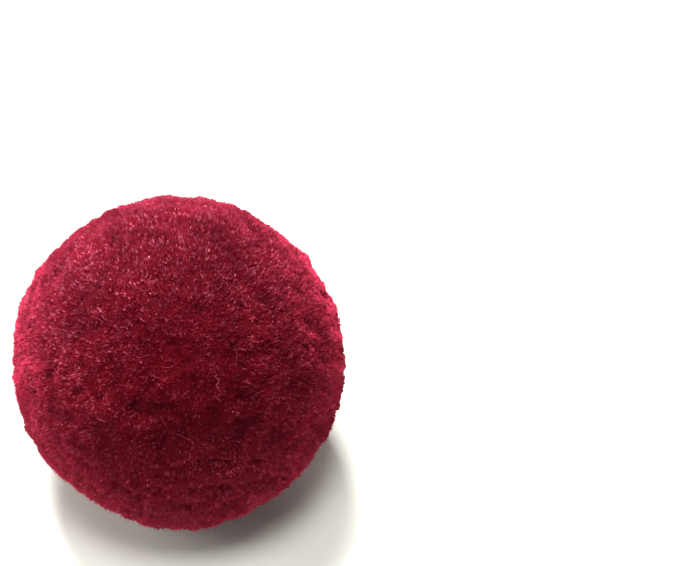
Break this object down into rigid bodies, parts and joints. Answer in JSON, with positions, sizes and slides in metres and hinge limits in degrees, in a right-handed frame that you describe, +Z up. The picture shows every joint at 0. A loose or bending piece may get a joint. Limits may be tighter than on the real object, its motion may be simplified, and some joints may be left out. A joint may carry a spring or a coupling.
{
  "type": "yarn pom pom",
  "caption": "Dense ball of crimson cut yarn, trimmed round, that rests on a small flat spot; a craft and garment trimming.",
  "frame": {"origin": "on the surface that the pom pom rests on, under the middle of its box", "axes": "+Z up, out of the surface; +X to the right and +Y away from a viewer in front; -Z is the way the rest spot faces"},
  "size_m": [0.0502, 0.0498, 0.0487],
  "materials": {
    "yarn": "dense cut pile, matt, with a soft sheen at its rim"
  },
  "bodies": {
    "root": {"pom_pom": "yarn"}
  },
  "joints": []
}
